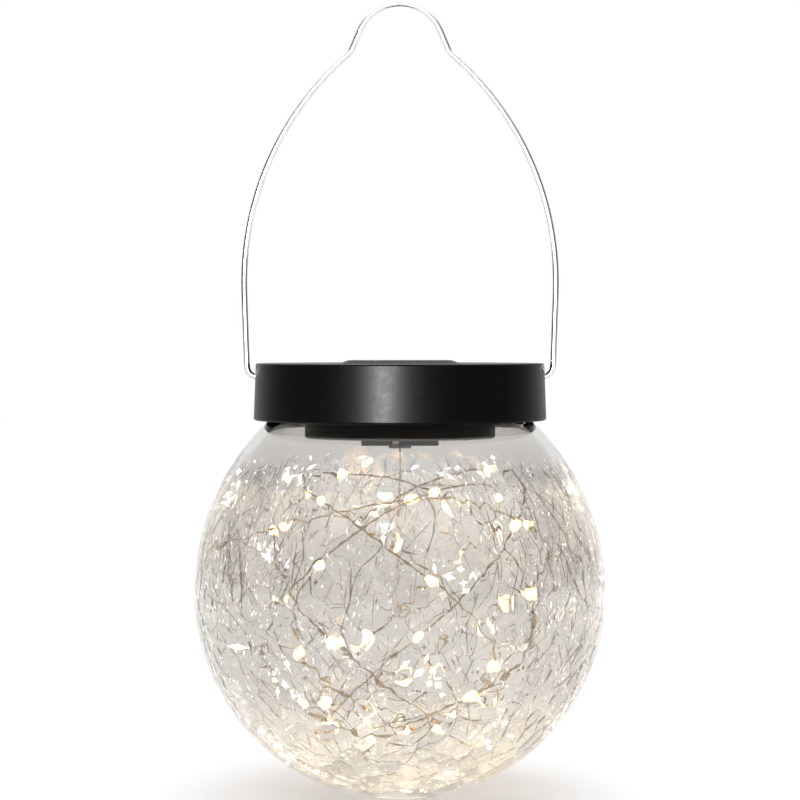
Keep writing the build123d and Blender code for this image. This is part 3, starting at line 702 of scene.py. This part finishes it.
def string_route():
    """Corner points of the light string: out of the gland, then loose turns round the ball."""
    points = [(0, 0, GLAND_Z), (0, 0, GLAND_Z - STRING_DROP)]
    for k in range(STRING_CORNERS):
        heading = math.radians(STRING_START + STRING_STEP * k)
        sway = 0.5 + 0.5 * math.sin(STRING_SWAY_RATE * k + STRING_SWAY_START)
        elevation = math.radians(STRING_LOW + (STRING_HIGH - STRING_LOW) * sway)
        sink = 0.5 + 0.5 * math.sin(STRING_DEPTH_RATE * k + STRING_DEPTH_START)
        reach = (string_reach(elevation) - STRING_INSET) * (1 - STRING_DEPTH * sink)
        flat = reach * math.cos(elevation)
        up = reach * math.sin(elevation)
        points.append((flat * math.cos(heading), flat * math.sin(heading), STRING_Z + up))
    return points


def line_of(route):
    """Close points along one smooth NURBS curve with these control points."""
    curve = bpy.data.curves.new("string_line", "CURVE")
    curve.dimensions = "3D"
    spline = curve.splines.new("NURBS")
    spline.points.add(len(route) - 1)
    for point, place in zip(spline.points, route):
        point.co = (*place, 1.0)
    spline.order_u = 3
    spline.use_endpoint_u = True
    spline.resolution_u = 24
    holder = bpy.data.objects.new("string_line", curve)
    bpy.context.scene.collection.objects.link(holder)
    bpy.context.view_layer.update()
    mesh = bpy.data.meshes.new_from_object(holder.evaluated_get(bpy.context.evaluated_depsgraph_get()))
    points = np.array([v.co for v in mesh.vertices])
    bpy.data.objects.remove(holder)
    bpy.data.curves.remove(curve)
    bpy.data.meshes.remove(mesh)
    return points


def resampled(points, step):
    """The same line with evenly spaced points."""
    run = np.r_[0, np.cumsum(np.linalg.norm(np.diff(points, axis=0), axis=1))]
    count = int(run[-1] / step) + 1
    at = np.linspace(0, run[-1], count)
    return np.c_[[np.interp(at, run, points[:, i]) for i in range(3)]].T, run[-1]


def frames_along(points):
    """Two unit sideways vectors at each point, carried along without twist."""
    along = unit(np.gradient(points, axis=0))
    side = np.zeros_like(points)
    side[0] = unit(np.cross(along[0], [0.3, 1.0, 0.2]))
    for i in range(1, len(points)):
        side[i] = unit(side[i - 1] - along[i] * (side[i - 1] @ along[i]))
    return side, np.cross(along, side)


def twin_wire(points, radius, offset, pitch, sides=6):
    """Two thin strands twisted round each other."""
    side, other = frames_along(points)
    run = np.r_[0, np.cumsum(np.linalg.norm(np.diff(points, axis=0), axis=1))]
    verts, faces = [], []
    for strand in (0, 1):
        turn = 2 * math.pi * run / pitch + math.pi * strand
        centre = points + offset * (side * np.cos(turn)[:, None] + other * np.sin(turn)[:, None])
        first = len(verts)
        for i in range(len(points)):
            for j in range(sides):
                a = 2 * math.pi * j / sides
                verts.append(centre[i] + radius * (side[i] * math.cos(a) + other[i] * math.sin(a)))
        for i in range(len(points) - 1):
            for j in range(sides):
                k = (j + 1) % sides
                a = first + i * sides
                faces.append((a + j, a + k, a + sides + k, a + sides + j))
        faces.append(tuple(first + j for j in range(sides))[::-1])
        last = first + (len(points) - 1) * sides
        faces.append(tuple(last + j for j in range(sides)))
    return mesh_object("light_string", verts, faces)


def blob(centre, along, radius, length, rings, sides, power, lean=0.0):
    """A drop-shaped closed surface along a direction, with its height along it from 0 to 1."""
    along = unit(np.array(along))
    side = unit(np.cross(along, [0.31, 0.22, 0.93]))
    other = np.cross(along, side)
    verts, faces, height = [], [], []
    for i in range(1, rings):
        t = -math.cos(math.pi * i / rings)
        r = radius * (1 - abs(t) ** power) ** (1 / power)
        for j in range(sides):
            a = 2 * math.pi * j / sides
            sway = 1 + lean * math.cos(a)
            out = (side * math.cos(a) + other * math.sin(a)) * r * sway
            verts.append(centre + along * t * length / 2 + out)
            height.append(t)
    for i in range(rings - 2):
        for j in range(sides):
            k = (j + 1) % sides
            faces.append((i * sides + j, i * sides + k, (i + 1) * sides + k, (i + 1) * sides + j))
    for t, ring in ((-1, 0), (1, rings - 2)):
        verts.append(centre + along * t * length / 2)
        height.append(t)
        tip = len(verts) - 1
        for j in range(sides):
            k = (j + 1) % sides
            pair = (ring * sides + j, ring * sides + k)
            faces.append((*pair, tip) if t > 0 else (*pair[::-1], tip))
    return verts, faces, height


def drops(name, places, radius, length, power, lean):
    """All the drops of one kind as one mesh, with how near each point is to the drop's middle."""
    verts, faces, heat = [], [], []
    for centre, along, scale in places:
        part = blob(centre, along, radius * scale, length * scale, 12, 14, power, lean)
        first = len(verts)
        verts += part[0]
        faces += [tuple(first + i for i in face) for face in part[1]]
        heat += [1 - abs(t) for t in part[2]]
    obj = mesh_object(name, verts, faces)
    float_attribute(obj, "heat", heat)
    return obj


def glow_material(name, stops, strength, rough, transmission):
    """Lit resin: hot in the middle, amber towards its ends."""
    made, tree, shader = material(name)
    heat = tree.nodes.new("ShaderNodeAttribute")
    heat.attribute_name = "heat"
    tree.links.new(ramp(tree, heat.outputs["Fac"], stops), shader.inputs["Emission Color"])
    shader.inputs["Emission Strength"].default_value = strength
    tree.links.new(
        ramp(tree, noise(tree, 900.0), [(0.3, (0.95, 0.82, 0.6)), (0.7, (1.0, 0.92, 0.78))]),
        shader.inputs["Base Color"],
    )
    shader.inputs["Roughness"].default_value = rough
    shader.inputs["Transmission Weight"].default_value = transmission
    shader.inputs["IOR"].default_value = 1.5
    return made


route = string_route()
line, string_length = resampled(line_of(route), LINE_STEP)
string = twin_wire(line, STRAND_R, STRAND_OFFSET, TWIST_PITCH)
lacquered_copper = finish_material(
    "lacquered_copper", (0.60, 0.49, 0.36), (0.84, 0.72, 0.56), scale=700.0, rough=(0.2, 0.38),
    metallic=1.0, grain=0.00002, grain_scale=4000.0,
)
paint(string, lacquered_copper)
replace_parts(string, "string_wire")
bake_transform(string)

corners = np.array(route)
places = []
for start, end in zip(corners[2:], corners[3:]):
    places.append(((start + end) / 2, unit(end - start), rng.uniform(0.86, 1.0)))
beads = drops("light_drops", places, BEAD_R, BEAD_LENGTH, power=2.0, lean=0.0)
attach(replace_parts(beads, "led_beads"), "jar")
RESIN_GLOW = [
    (0.0, (0.30, 0.16, 0.06)),
    (0.25, (0.85, 0.60, 0.30)),
    (0.5, (1.0, 0.84, 0.58)),
    (1.0, (1.0, 0.93, 0.78)),
]
paint(beads, glow_material("lit_resin", RESIN_GLOW, strength=9.0, rough=0.2, transmission=0.3))
cores = drops("light_chips", places, CHIP_R, CHIP_LENGTH, power=4.0, lean=0.2)
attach(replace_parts(cores, "led_chips"), "jar")
CHIP_GLOW = [(0.0, (1.0, 0.80, 0.50)), (1.0, (1.0, 0.90, 0.70))]
paint(cores, glow_material("lit_chip", CHIP_GLOW, strength=60.0, rough=0.4, transmission=0.0))

# ---- jar and cracks, with the glow of the lights painted into them as emission -------------------
lights = np.array([place[0] for place in places])
seeds = scattered(count=2100, jitter=0.9, kept=0.8)
borders = cell_borders(seeds)
jar = glass_body(seeds)
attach(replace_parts(jar, "glass_jar"), "jar")
lugs = neck_lugs()
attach(lugs, "jar")

flakes = Flakes()
cell_cracks(flakes, borders)
long_cracks(flakes, count=420, low=-5, high=36, slant=0.40, reach=(0.006, 0.026))
long_cracks(flakes, count=420, low=-62, high=10, slant=1.2, reach=(0.004, 0.020))
branch_cracks(flakes, count=1300)
small_flakes(flakes, count=9000)
light_shards(flakes, lights, count=17)
cracks = flakes.build("jar_cracks", lights)
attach(cracks, "jar")


def jar_material():
    """Clear glass with a grey cast, and a soft warm glow painted on as emission where the small lights are
    near its crazing.
    """
    made = glass_material("jar_clear_glass", (0.69, 0.678, 0.66), (0.735, 0.724, 0.706), 1.45)
    tree = made.node_tree
    shader = tree.nodes["Principled BSDF"]
    painted_glow = tree.nodes.new("ShaderNodeAttribute")
    painted_glow.attribute_name = "painted_glow"
    tree.links.new(painted_glow.outputs["Color"], shader.inputs["Emission Color"])
    shader.inputs["Emission Strength"].default_value = GLASS_PAINTED_GLOW_STRENGTH
    return made


coords = np.array([v.co for v in jar.data.vertices])
is_inside = np.linalg.norm(coords - CENTRE, axis=1) < BALL_R - WALL * 0.6
cell, inset = cell_of(unit(coords - CENTRE), seeds)
# Painted glow: warm emission on the inner glass close to the small lights, stronger or weaker from cell to
# cell.
cell_gain = rng.uniform(0.25, 1.5, len(seeds))
painted_glow = lit_by(coords, lights, *GLASS_PAINTED_GLOW) * cell_gain[cell] * is_inside * (coords[:, 2] < RELIEF_TOP)
colour_attribute(jar, "painted_glow", painted_glow[:, None] * GLASS_PAINTED_GLOW_COLOUR)
clear_glass = jar_material()
paint(jar, clear_glass)
paint(lugs, clear_glass)
paint(cracks, crack_material())

# ---- finishes of the CAD pieces ----------------------------------------------------------------
black_satin = finish_material(
    "black_satin_plastic", (0.0008, 0.0008, 0.0009), (0.0015, 0.0015, 0.0017), scale=260.0,
    rough=(0.34, 0.39), grain=0.000002, grain_scale=5200.0, specular=0.07,
)
black_matt = finish_material(
    "black_matt_plastic", (0.022, 0.022, 0.022), (0.036, 0.036, 0.036), scale=260.0, rough=(0.45, 0.55),
    grain=0.000006, grain_scale=5200.0, specular=0.3,
)
rubber = finish_material(
    "black_rubber", (0.010, 0.010, 0.010), (0.022, 0.021, 0.020), scale=500.0, rough=(0.65, 0.85),
    grain=0.00002, grain_scale=3000.0, specular=0.3,
)
silicon = finish_material(
    "solar_silicon", (0.004, 0.006, 0.020), (0.012, 0.016, 0.045), scale=700.0, rough=(0.12, 0.3),
    metallic=0.2, specular=0.6, stretch=(1.0, 0.15, 1.0),
)
silver = finish_material(
    "silver_conductor", (0.62, 0.62, 0.63), (0.86, 0.86, 0.87), scale=2500.0, rough=(0.25, 0.45),
    metallic=1.0, grain=0.00001, grain_scale=6000.0,
)
panel_board = finish_material(
    "panel_board", (0.015, 0.02, 0.03), (0.03, 0.04, 0.05), scale=900.0, rough=(0.4, 0.6),
    grain=0.00001, grain_scale=7000.0,
)
board = finish_material(
    "board_green", (0.015, 0.10, 0.04), (0.03, 0.16, 0.07), scale=900.0, rough=(0.25, 0.4),
    grain=0.00001, grain_scale=7000.0, specular=0.5,
)
steel = finish_material(
    "screw_steel", (0.55, 0.55, 0.56), (0.78, 0.78, 0.79), scale=1800.0, rough=(0.2, 0.38),
    metallic=1.0, grain=0.00001, grain_scale=6000.0,
)
contact = finish_material(
    "plated_contact", (0.60, 0.59, 0.57), (0.80, 0.80, 0.79), scale=1500.0, rough=(0.22, 0.4),
    metallic=1.0, grain=0.00001, grain_scale=6000.0,
)
sleeve = finish_material(
    "cell_sleeve", (0.05, 0.26, 0.11), (0.08, 0.38, 0.17), scale=300.0, rough=(0.18, 0.3),
    grain=0.00001, grain_scale=2500.0, specular=0.5,
)
packages = finish_material(
    "chip_packages", (0.018, 0.018, 0.02), (0.04, 0.04, 0.045), scale=1800.0, rough=(0.45, 0.65),
    grain=0.00001, grain_scale=7000.0,
)
choke = finish_material(
    "choke_lacquer", (0.10, 0.24, 0.16), (0.20, 0.38, 0.27), scale=1500.0, rough=(0.15, 0.3),
    grain=0.00001, grain_scale=4000.0, specular=0.5,
)
white_plastic = finish_material(
    "white_plastic", (0.72, 0.72, 0.70), (0.84, 0.84, 0.82), scale=600.0, rough=(0.35, 0.5),
    grain=0.00001, grain_scale=4000.0,
)
red_lead = finish_material(
    "red_insulation", (0.42, 0.02, 0.015), (0.6, 0.035, 0.025), scale=700.0, rough=(0.3, 0.45),
    grain=0.00001, grain_scale=4000.0,
)
black_lead = finish_material(
    "black_insulation", (0.01, 0.01, 0.01), (0.022, 0.022, 0.022), scale=700.0, rough=(0.3, 0.45),
    grain=0.00001, grain_scale=4000.0,
)
end_sleeve = finish_material(
    "end_sleeve", (0.62, 0.55, 0.42), (0.8, 0.72, 0.56), scale=700.0, rough=(0.25, 0.4),
    grain=0.00001, grain_scale=4000.0,
)
tail_copper = finish_material(
    "tail_copper", (0.62, 0.40, 0.20), (0.86, 0.62, 0.36), scale=700.0, rough=(0.2, 0.38),
    metallic=1.0, grain=0.00002, grain_scale=4000.0,
)
bright_wire = finish_material(
    "bright_steel_wire", (0.60, 0.59, 0.58), (0.80, 0.79, 0.78), scale=900.0, rough=(0.10, 0.17),
    metallic=1.0, grain=0.0000015, grain_scale=3500.0, stretch=(1.0, 1.0, 0.12),
)
panel_window = glass_material("panel_window", (0.86, 0.88, 0.90), (0.95, 0.96, 0.97), 1.5, 0.04, 200.0)

FINISHES = {
    "lid_cap": black_satin,
    "battery_housing": black_matt,
    "battery_door": black_matt,
    "lid_seal": rubber,
    "string_gland": rubber,
    "solar_backing": panel_board,
    "solar_cells": silicon,
    "solar_fingers": silver,
    "solar_cover": panel_window,
    "door_screw": steel,
    "housing_screws": steel,
    "board_screws": steel,
    "battery_cell": sleeve,
    "battery_plate": contact,
    "battery_spring": contact,
    "switch_body": contact,
    "circuit_board": board,
    "board_parts": packages,
    "board_choke": choke,
    "switch_slider": white_plastic,
    "string_tail": tail_copper,
    "red_leads": red_lead,
    "black_leads": black_lead,
    "string_end": end_sleeve,
    "bail_wire": bright_wire,
}
for name, made in FINISHES.items():
    paint(nodes[name], made)

# ---- stage, lights and camera ------------------------------------------------------------------
FLOOR_SIDE = 6.0
FLOOR_GLOW = 0.40
LIGHT_AIM = (0, 0, 0.08)
SKY_FRONT, SKY_BACK, SKY_TOP = 0.16, 1.0, 1.7
BACK_BAND = (0.3, 0.85)
TOP_BAND = (0.35, 0.95)
half = FLOOR_SIDE / 2
floor_corners = [(-half, -half, 0), (half, -half, 0), (half, half, 0), (-half, half, 0)]
floor = mesh_object("floor", floor_corners, [(0, 1, 2, 3)], smooth=False)
pale_floor = finish_material(
    "pale_floor", (0.53, 0.53, 0.53), (0.55, 0.55, 0.55), scale=6.0, rough=(0.8, 0.95),
)
shader = pale_floor.node_tree.nodes["Principled BSDF"]
shader.inputs["Emission Color"].default_value = (1.0, 1.0, 1.0, 1.0)
shader.inputs["Emission Strength"].default_value = FLOOR_GLOW
paint(floor, pale_floor)

world = bpy.data.worlds.new("studio")
world.use_nodes = True
bpy.context.scene.world = world
tree = world.node_tree
background = tree.nodes["Background"]
place = tree.nodes.new("ShaderNodeTexCoord")
split = tree.nodes.new("ShaderNodeSeparateXYZ")
tree.links.new(place.outputs["Generated"], split.inputs["Vector"])


def sky_band(axis, low, high, dark, bright):
    """Brightness that rises smoothly along one axis of the view direction."""
    shade = tree.nodes.new("ShaderNodeMapRange")
    shade.interpolation_type = "SMOOTHSTEP"
    for socket, value in (("From Min", low), ("From Max", high), ("To Min", dark), ("To Max", bright)):
        shade.inputs[socket].default_value = value
    tree.links.new(split.outputs[axis], shade.inputs["Value"])
    return shade.outputs["Result"]


total = tree.nodes.new("ShaderNodeMath")
total.operation = "ADD"
tree.links.new(sky_band("Y", *BACK_BAND, SKY_FRONT, SKY_BACK), total.inputs[0])
tree.links.new(sky_band("Z", *TOP_BAND, 0.0, SKY_TOP), total.inputs[1])
tree.links.new(total.outputs["Value"], background.inputs["Strength"])
background.inputs["Color"].default_value = (1.0, 1.0, 1.0, 1.0)


def softbox(name, azimuth, elevation, distance, width, height, brightness):
    """A rectangular light of that brightness, round the lantern; azimuth from the front to its right."""
    light = bpy.data.lights.new(name, "AREA")
    light.shape = "RECTANGLE"
    light.size = width
    light.size_y = height
    light.energy = brightness * math.pi * width * height
    obj = bpy.data.objects.new(name, light)
    bpy.context.scene.collection.objects.link(obj)
    a, e = math.radians(azimuth), math.radians(elevation)
    reach = Vector((math.sin(a) * math.cos(e), -math.cos(a) * math.cos(e), math.sin(e))) * distance
    obj.location = Vector(LIGHT_AIM) + reach
    obj.rotation_euler = (-reach).to_track_quat("-Z", "Y").to_euler()
    return obj


def limit_light(light, objects, state):
    """Lets a light reach only those objects, or all but those, and only as a highlight."""
    group = bpy.data.collections.new(light.name + "_reach")
    for obj in objects:
        group.objects.link(obj)
    for entry in group.collection_objects:
        entry.light_linking.link_state = state
    light.light_linking.receiver_collection = group
    light.visible_diffuse = False


key_light = softbox("key_light", -12.5, 9, distance=1.3, width=0.06, height=0.26, brightness=1500.0)
softbox("top_light", 170, 62, distance=1.5, width=0.8, height=0.5, brightness=2.0)
bail_light = softbox("bail_light", 4, 8, distance=1.2, width=2.0, height=0.7, brightness=1.7)
limit_light(key_light, (jar, lugs, cracks, floor), "EXCLUDE")
limit_light(bail_light, (nodes["bail_wire"],), "INCLUDE")

VIEW_ANGLE = 20.8
FRAME_SHIFT = -0.0675
CAMERA_PLACE = (0.0, -0.637, 0.1292)
camera_data = bpy.data.cameras.new("camera")
camera_data.sensor_width = 36.0
camera_data.lens = 18.0 / math.tan(math.radians(VIEW_ANGLE / 2))
camera_data.shift_y = FRAME_SHIFT
camera = bpy.data.objects.new("camera", camera_data)
bpy.context.scene.collection.objects.link(camera)
camera.location = CAMERA_PLACE
camera.rotation_euler = (math.pi / 2, 0.0, 0.0)
bpy.context.scene.camera = camera

scene = bpy.context.scene
scene.view_settings.view_transform = "Standard"
scene.cycles.transparent_max_bounces = 32
scene.cycles.max_bounces = 16
scene.cycles.transmission_bounces = 16
